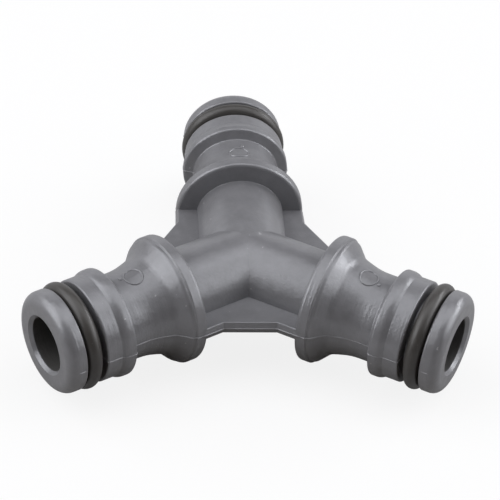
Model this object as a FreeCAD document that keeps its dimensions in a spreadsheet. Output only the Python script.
import FreeCAD, Part
import math
import os

import Sketcher
from FreeCAD import Placement, Rotation, Vector

# Even three-way joiner for snap-fit garden hose couplings.
# One moulding carries three like arms at 120 degrees in one plane, with a flat web between them,
# and each arm holds a rubber O-ring in the groove behind its nose.
# The origin is where the three arm axes meet, +Y runs out along the rear arm and +Z is square to the arms.
# All lengths are in millimetres. "Along" is measured outwards from the origin on an arm's own axis.

SIZES = [
    # alias, value, meaning
    ("arm_length", 35.2, "centre to the mouth of every arm"),
    ("bore_diameter", 8.4, "water way through every arm"),
    ("mouth_bevel", 0.5, "bevel where the bore opens into the flat end of the nose"),
    ("neck_diameter", 13.5, "plain tube between the centre and the flange"),
    ("neck_round", 0.1, "rounding where the neck meets the flange face"),
    ("rim_diameter", 19.88, "flange rim"),
    ("rim_width", 1.72, "flange rim, measured along the arm"),
    ("rim_edge_round", 0.5, "rounding on the inner edge of the rim"),
    ("rim_outer_round", 0.12, "rounding on the outer edge of the rim"),
    ("rim_step_depth", 0.3, "drop from the rim to the start of the shoulder"),
    ("rim_step_run", 0.2, "lean of that drop, along the arm"),
    ("shoulder_shelf", 0.35, "narrow flat at the foot of the drop"),
    ("shoulder_length", 1.83, "straight shoulder cone, along the arm"),
    ("shoulder_end_diameter", 15.38, "where the cone passes into the flare"),
    ("shoulder_round", 0.75, "rounding at the top of the cone"),
    ("flare_round", 2.2, "blend between the cone and the flare"),
    ("flare_length", 3.21, "gentle flare from the cone down to the waist"),
    ("waist_blend", 10.0, "wide rounding that runs the flare into the waist"),
    ("waist_diameter", 13.48, "slim grip length behind the bead"),
    ("waist_length", 3.44, "waist between the flare and the bead"),
    ("waist_round", 0.25, "rounding at the foot of the bead"),
    ("bead_diameter", 16.75, "bead that the coupling's claws catch behind"),
    ("bead_face_lean", 0.5, "lean of the catching face, along the arm"),
    ("bead_width", 1.4, "crest of the bead"),
    ("bead_inner_round", 0.4, "rounding on the catching edge"),
    ("bead_outer_round", 1.8, "wide rounding from the crest into the slope"),
    ("bead_ramp", 0.8, "slope from the crest down to the land"),
    ("bead_foot_round", 0.2, "rounding where that slope meets the land"),
    ("land_diameter", 15.86, "cylinder between the bead and the groove"),
    ("land_length", 2.45, "the same, along the arm"),
    ("groove_edge_round", 0.28, "rounding on both edges of the groove"),
    ("groove_floor_diameter", 11.8, "floor of the seal groove"),
    ("groove_width", 3.3, "seal groove, along the arm"),
    ("groove_floor_round", 0.25, "rounding in the corners of the groove"),
    ("nose_diameter", 15.8, "leading cylinder that enters the coupling"),
    ("nose_length", 2.92, "groove to mouth"),
    ("nose_round", 1.64, "big rounding between the nose and its flat end"),
    ("web_thickness", 2.0, "flat web in the plane of the arms"),
    ("web_half_width", 10.03, "arm axis to the edge of the web beside the arm, at mid thickness"),
    ("web_side_length", 2.73, "edge of the web beside an arm, from the flange face to the corner"),
    ("web_draft", 16.0, "slope of the web's edges above and below mid thickness, in degrees"),
    ("web_edge_round", 0.18, "rounding on the web's upper and lower edges"),
    ("web_bite", 0.8, "how far the web runs on into the flange"),
    ("ring_section", 2.36, "thickness of the O-ring"),
    ("ring_seat_clearance", 0.02, "groove floor to the inside of the O-ring"),
    ("ring_wall_gap", 0.27, "outer wall of the groove to the O-ring"),
]

# The arms in order, anticlockwise from the rear one and evenly spaced
ARMS = ["rear", "left", "right"]

SHEET = "Sizes"
VALUES = {alias: value for alias, value, meaning in SIZES}

# Lengths nearer to each other than this are the same
SAME_LENGTH = 1e-4


class Size:
    """A length that keeps its number together with the sheet expression that gives it."""

    def __init__(self, number, text):
        self.number = number
        self.text = text

    def joined(self, other, sign, result):
        text = other.text if isinstance(other, Size) else str(other)
        return Size(result, "(" + self.text + " " + sign + " " + text + ")")

    def __add__(self, other):
        return self.joined(other, "+", self.number + number_of(other))

    def __sub__(self, other):
        return self.joined(other, "-", self.number - number_of(other))

    def __mul__(self, other):
        return self.joined(other, "*", self.number * number_of(other))

    def __truediv__(self, other):
        return self.joined(other, "/", self.number / number_of(other))


def number_of(value):
    return value.number if isinstance(value, Size) else float(value)


def size(alias):
    return Size(VALUES[alias], SHEET + "." + alias)


def turn_of(index):
    """Turn of an arm from the rear one, in degrees."""
    return 360 / len(ARMS) * index


def make_sheet(document):
    """One row for each driving dimension: its name, its value with that name as alias, its meaning."""
    sheet = document.addObject("Spreadsheet::Sheet", SHEET)
    for row, (alias, value, meaning) in enumerate(SIZES, start=1):
        sheet.set("A" + str(row), alias)
        sheet.set("B" + str(row), str(value))
        sheet.set("C" + str(row), meaning)
        sheet.setAlias("B" + str(row), alias)
    document.recompute()
    return sheet


def origin_part(body, role):
    return next(item for item in body.Origin.OriginFeatures if item.Role == role)


def new_sketch(body, role, name):
    """Empty sketch laid on one of the body's own origin planes."""
    sketch = body.newObject("Sketcher::SketchObject", name)
    sketch.AttachmentSupport = [(origin_part(body, role), "")]
    sketch.MapMode = "FlatFace"
    return sketch


def bind(sketch, kind, geometry, value, name):
    """Adds a named dimension and ties it to the sheet."""
    index = sketch.addConstraint(Sketcher.Constraint(kind, *geometry, value.number))
    sketch.renameConstraint(index, name)
    sketch.setExpression("Constraints." + name, value.text)


class Corner:
    """Corner of an outline: its place and an optional rounding."""

    def __init__(self, x, y, rounding=None):
        self.x = x
        self.y = y
        self.rounding = rounding

    def point(self):
        return Vector(number_of(self.x), number_of(self.y), 0)


def draw_outline(sketch, corners):
    """Closed outline through the corners, with every corner's place and rounding tied to the sheet."""
    count = len(corners)
    points = [corner.point() for corner in corners]
    for index in range(count):
        sketch.addGeometry(Part.LineSegment(points[index], points[(index + 1) % count]), False)
    for index in range(count):
        sketch.addConstraint(Sketcher.Constraint("Coincident", (index - 1) % count, 2, index, 1))
    for index, corner in enumerate(corners):
        place_vertex(sketch, index, corner)
    for index, corner in enumerate(corners):
        if corner.rounding is not None:
            round_corner(sketch, index, corner.rounding)


def place_vertex(sketch, index, corner):
    """Ties the start of an edge to the origin by two distances, or to an axis where one is zero."""
    origin, x_axis, y_axis = -1, -1, -2
    for kind, value, axis in (("DistanceX", corner.x, y_axis), ("DistanceY", corner.y, x_axis)):
        if number_of(value) == 0:
            sketch.addConstraint(Sketcher.Constraint("PointOnObject", index, 1, axis))
        else:
            bind(sketch, kind, (origin, 1, index, 1), value, kind + str(index))


def round_corner(sketch, index, rounding):
    """Rounds the corner at the start of edge number index and keeps its dimensions on the sharp corner."""
    sketch.fillet(index, 1, rounding.number, True, True)
    arc = max(i for i, edge in enumerate(sketch.Geometry) if edge.TypeId == "Part::GeomArcOfCircle")
    bind(sketch, "Radius", (arc,), rounding, "Round" + str(index))


def turn_about(feature, sketch, axis):
    feature.Profile = sketch
    feature.ReferenceAxis = (sketch, [axis])
    feature.Angle = 360


def ring_of(body, feature, name):
    """Repeats a feature once for each arm, about the vertical axis."""
    pattern = body.newObject("PartDesign::PolarPattern", name)
    pattern.Originals = [feature]
    pattern.Axis = (origin_part(body, "Z_Axis"), [""])
    pattern.Angle = 360
    pattern.Occurrences = len(ARMS)
    body.Tip = pattern
    return pattern


def stations():
    """Distances from the centre to each change of section, taken off one by one from the mouth inwards."""
    place = {"mouth": size("arm_length")}
    chain = [
        ("nose", "mouth", "nose_length"),
        ("groove", "nose", "groove_width"),
        ("land", "groove", "land_length"),
        ("ramp", "land", "bead_ramp"),
        ("crest", "ramp", "bead_width"),
        ("bead", "crest", "bead_face_lean"),
        ("waist", "bead", "waist_length"),
        ("flare", "waist", "flare_length"),
        ("shoulder", "flare", "shoulder_length"),
        ("step", "shoulder", "shoulder_shelf"),
        ("rim", "step", "rim_step_run"),
        ("face", "rim", "rim_width"),
    ]
    for name, outer, step in chain:
        place[name] = place[outer] - size(step)
    return place


def arm_corners(place):
    """Outer half section of one arm, from the centre to the mouth and back along its axis."""
    neck = size("neck_diameter") / 2
    rim = size("rim_diameter") / 2
    shelf = rim - size("rim_step_depth")
    waist = size("waist_diameter") / 2
    bead = size("bead_diameter") / 2
    land = size("land_diameter") / 2
    floor = size("groove_floor_diameter") / 2
    nose = size("nose_diameter") / 2
    edge = size("groove_edge_round")
    corner = size("groove_floor_round")
    return [
        Corner(0, 0),
        Corner(0, neck),
        Corner(place["face"], neck, size("neck_round")),
        Corner(place["face"], rim, size("rim_edge_round")),
        Corner(place["rim"], rim, size("rim_outer_round")),
        Corner(place["step"], shelf),
        Corner(place["shoulder"], shelf, size("shoulder_round")),
        Corner(place["flare"], size("shoulder_end_diameter") / 2, size("flare_round")),
        Corner(place["waist"], waist, size("waist_blend")),
        Corner(place["bead"], waist, size("waist_round")),
        Corner(place["crest"], bead, size("bead_inner_round")),
        Corner(place["ramp"], bead, size("bead_outer_round")),
        Corner(place["land"], land, size("bead_foot_round")),
        Corner(place["groove"], land, edge),
        Corner(place["groove"], floor, corner),
        Corner(place["nose"], floor, corner),
        Corner(place["nose"], nose, edge),
        Corner(place["mouth"], nose, size("nose_round")),
        Corner(place["mouth"], 0),
    ]


def add_arms(body, place):
    sketch = new_sketch(body, "YZ_Plane", "arm_section")
    draw_outline(sketch, arm_corners(place))
    arm = body.newObject("PartDesign::Revolution", "arm")
    turn_about(arm, sketch, "H_Axis")
    body.Document.recompute()
    return ring_of(body, arm, "arms")


def web_corners(place):
    """Outline of the web at mid thickness: beside each arm a straight edge, between arms a short one."""
    half = size("web_half_width")
    far = place["face"] + size("web_bite")
    near = place["face"] - size("web_side_length")
    corners = []
    for index in range(len(ARMS)):
        turn = math.radians(turn_of(index))
        cosine = math.cos(turn)
        sine = math.sin(turn)
        for across, along in ((half, near), (half, far), (half * -1, far), (half * -1, near)):
            corners.append(Corner(across * cosine - along * sine, across * sine + along * cosine))
    return corners


def add_web(body, place):
    sketch = new_sketch(body, "XY_Plane", "web_outline")
    draw_outline(sketch, web_corners(place))
    web = body.newObject("PartDesign::Pad", "web")
    web.Profile = sketch
    web.SideType = "Two sides"
    for length, taper in (("Length", "TaperAngle"), ("Length2", "TaperAngle2")):
        web.setExpression(length, (size("web_thickness") / 2).text)
        web.setExpression(taper, (size("web_draft") * -1).text)
    body.Document.recompute()
    rounding = body.newObject("PartDesign::Fillet", "web_rounding")
    rounding.Base = (web, flat_face_edges(web.Shape))
    rounding.setExpression("Radius", size("web_edge_round").text)
    body.Tip = rounding
    return rounding


def flat_face_edges(shape):
    """Names of the edges round the web's upper and lower faces."""
    half = VALUES["web_thickness"] / 2
    names = []
    for index, edge in enumerate(shape.Edges, start=1):
        heights = [abs(vertex.Point.z) for vertex in edge.Vertexes]
        if all(abs(height - half) < SAME_LENGTH for height in heights):
            names.append("Edge" + str(index))
    return names


def add_bores(body, place):
    """Water ways from the centre out through each mouth."""
    radius = size("bore_diameter") / 2
    sketch = new_sketch(body, "YZ_Plane", "bore_section")
    draw_outline(sketch, [
        Corner(0, 0),
        Corner(0, radius),
        Corner(place["mouth"], radius),
        Corner(place["mouth"], 0),
    ])
    bore = body.newObject("PartDesign::Groove", "bore")
    turn_about(bore, sketch, "H_Axis")
    body.Document.recompute()
    return ring_of(body, bore, "bores")


def mouth_edges(shape, place):
    """Names of the circles where the bores meet the nose faces."""
    reach = place["mouth"].number
    radius = VALUES["bore_diameter"] / 2
    names = []
    for index, edge in enumerate(shape.Edges, start=1):
        if edge.Curve.TypeId != "Part::GeomCircle":
            continue
        far_out = abs(edge.Curve.Center.Length - reach) < SAME_LENGTH
        if far_out and abs(edge.Curve.Radius - radius) < SAME_LENGTH:
            names.append("Edge" + str(index))
    return names


def bevel_mouths(body, before, place):
    bevel = body.newObject("PartDesign::Chamfer", "mouth_bevels")
    bevel.Base = (before, mouth_edges(before.Shape, place))
    bevel.setExpression("Size", size("mouth_bevel").text)
    body.Tip = bevel
    return bevel


def make_fitting(document, place):
    """The moulding: the web, three arms over it, the bores through them."""
    body = document.addObject("PartDesign::Body", "fitting_body")
    body.Label = "fitting_body"
    add_web(body, place)
    document.recompute()
    arms = add_arms(body, place)
    document.recompute()
    solid_volume = arms.Shape.Volume
    bores = add_bores(body, place)
    document.recompute()
    if not bores.Shape.Volume < solid_volume:
        raise RuntimeError("the bores removed nothing")
    bevel_mouths(body, bores, place)
    return body


def make_ring(document, place, index):
    """One O-ring, drawn on the rear arm and turned to its own."""
    name = ARMS[index]
    body = document.addObject("PartDesign::Body", "o_ring_" + name)
    body.Label = "o_ring_" + name
    section = size("ring_section")
    along = place["nose"] - size("ring_wall_gap") - section / 2
    out = size("groove_floor_diameter") / 2 + size("ring_seat_clearance") + section / 2
    sketch = new_sketch(body, "YZ_Plane", "ring_section_" + name)
    centre = Vector(along.number, out.number, 0)
    sketch.addGeometry(Part.Circle(centre, Vector(0, 0, 1), section.number / 2), False)
    bind(sketch, "DistanceX", (-1, 1, 0, 3), along, "Along")
    bind(sketch, "DistanceY", (-1, 1, 0, 3), out, "Out")
    bind(sketch, "Diameter", (0,), section, "Section")
    ring = body.newObject("PartDesign::Revolution", "ring_" + name)
    turn_about(ring, sketch, "H_Axis")
    body.Placement = Placement(Vector(0, 0, 0), Rotation(Vector(0, 0, 1), turn_of(index)))
    return body


def check(document, parts):
    """Stops if anything failed to build."""
    for item in document.Objects:
        if "Invalid" in item.State or "Error" in item.State:
            raise RuntimeError(item.Name + " failed: " + str(item.State))
    for part in parts:
        if part.Shape.isNull() or not part.Shape.isValid():
            raise RuntimeError(part.Label + " has no valid shape")
        if len(part.Shape.Solids) != 1:
            raise RuntimeError(part.Label + " is not one solid")


def main():
    document = FreeCAD.newDocument("hose_joiner")
    make_sheet(document)
    place = stations()
    parts = [make_fitting(document, place)]
    for index in range(len(ARMS)):
        parts.append(make_ring(document, place, index))
    document.recompute()
    check(document, parts)
    os.makedirs("parts", exist_ok=True)
    for part in parts:
        part.Shape.exportStep("parts/" + part.Label + ".step")
        box = part.Shape.BoundBox
        print(part.Label, "volume", round(part.Shape.Volume, 1), "mm3, box",
              [round(v, 2) for v in (box.XMin, box.YMin, box.ZMin, box.XMax, box.YMax, box.ZMax)])


main()
